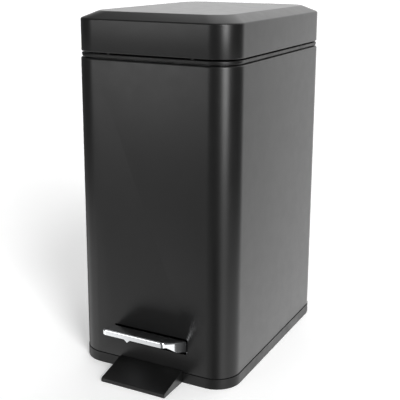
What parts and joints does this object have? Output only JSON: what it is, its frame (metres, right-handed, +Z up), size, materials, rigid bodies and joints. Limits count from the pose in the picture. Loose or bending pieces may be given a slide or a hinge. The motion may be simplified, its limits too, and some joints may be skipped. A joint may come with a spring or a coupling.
{
  "type": "pedal trash can",
  "caption": "Slim rectangular pedal trash can: steel shell with rounded corners, bevelled hinged lid, chromed pedal, lever and push rod, lift-out bucket with bail.",
  "frame": {"origin": "on the floor, at the centre of the body's rounded-rectangle plan", "axes": "+Z up; -Y is the front, where the pedal is; +Y is the back, where the lid hinge is; +X is to the right of a person facing the can"},
  "size_m": [0.1358, 0.2224, 0.28],
  "materials": {
    "black_powder_coat": "satin, fine powder coat",
    "black_hinge_steel": "satin",
    "black_moulded_plastic": "fine matt",
    "polished_chrome": "mirror",
    "galvanised_steel": "galvanised",
    "bright_wire": "drawn",
    "zinc_fasteners": "zinc plated",
    "spring_steel_clips": "oiled",
    "black_rubber": "matt",
    "natural_nylon": "natural",
    "bucket_plastic": "fine matt",
    "grip_plastic": "semi gloss"
  },
  "bodies": {
    "bin": {"body_shell": "black_powder_coat", "top_collar": "black_moulded_plastic", "lid_bumpers": "black_rubber", "base_tray": "black_moulded_plastic", "base_screws": "zinc_fasteners", "front_foot": "black_moulded_plastic", "foot_screw": "zinc_fasteners", "pedal_bracket": "galvanised_steel", "bracket_screws": "zinc_fasteners", "pedal_axle": "bright_wire", "axle_clips": "spring_steel_clips", "lever_rest_pad": "black_rubber", "rod_guides": "natural_nylon", "guide_rivets": "zinc_fasteners", "hinge_bracket": "black_hinge_steel", "hinge_rivets": "zinc_fasteners", "hinge_pin": "bright_wire"},
    "lid": {"lid_shell": "black_powder_coat", "lid_hinge_leaf": "black_hinge_steel", "lid_lever": "galvanised_steel", "lid_rivets": "zinc_fasteners"},
    "pedal": {"pedal_plate": "polished_chrome", "lever_arm": "galvanised_steel", "lever_rivets": "zinc_fasteners", "pedal_bushes": "natural_nylon"},
    "push_rod": {"push_rod": "bright_wire", "rod_clips": "spring_steel_clips"},
    "bucket": {"inner_bucket": "bucket_plastic"},
    "bail": {"bail_handle": "bright_wire", "bail_grip": "grip_plastic"}
  },
  "joints": [
    {"name": "lid_hinge", "type": "hinge", "parent": "bin", "child": "lid", "pos_m": [0, 0.098, 0.251], "axis": [-1, 0, 0], "range_deg": [0, 70]},
    {"name": "pedal_pivot", "type": "hinge", "parent": "bin", "child": "pedal", "pos_m": [0, -0.082, 0.025], "axis": [1, 0, 0], "range_deg": [0, 11.74]},
    {"name": "rod_slide", "type": "slide", "parent": "bin", "child": "push_rod", "axis": [0, 0, 1], "range_m": [0, 0.03217]},
    {"name": "bucket_lift", "type": "slide", "parent": "bin", "child": "bucket", "axis": [0, 0, 1], "range_m": [0, 0.006]},
    {"name": "bail_swing", "type": "hinge", "parent": "bucket", "child": "bail", "pos_m": [0, -0.012, 0.24], "axis": [-1, 0, 0], "range_deg": [0, 12]}
  ],
  "couplings": [
    {"joint": "pedal_pivot", "follows": "lid_hinge", "ratio": 0.167},
    {"joint": "rod_slide", "follows": "lid_hinge", "m_per_rad": 0.026291}
  ]
}
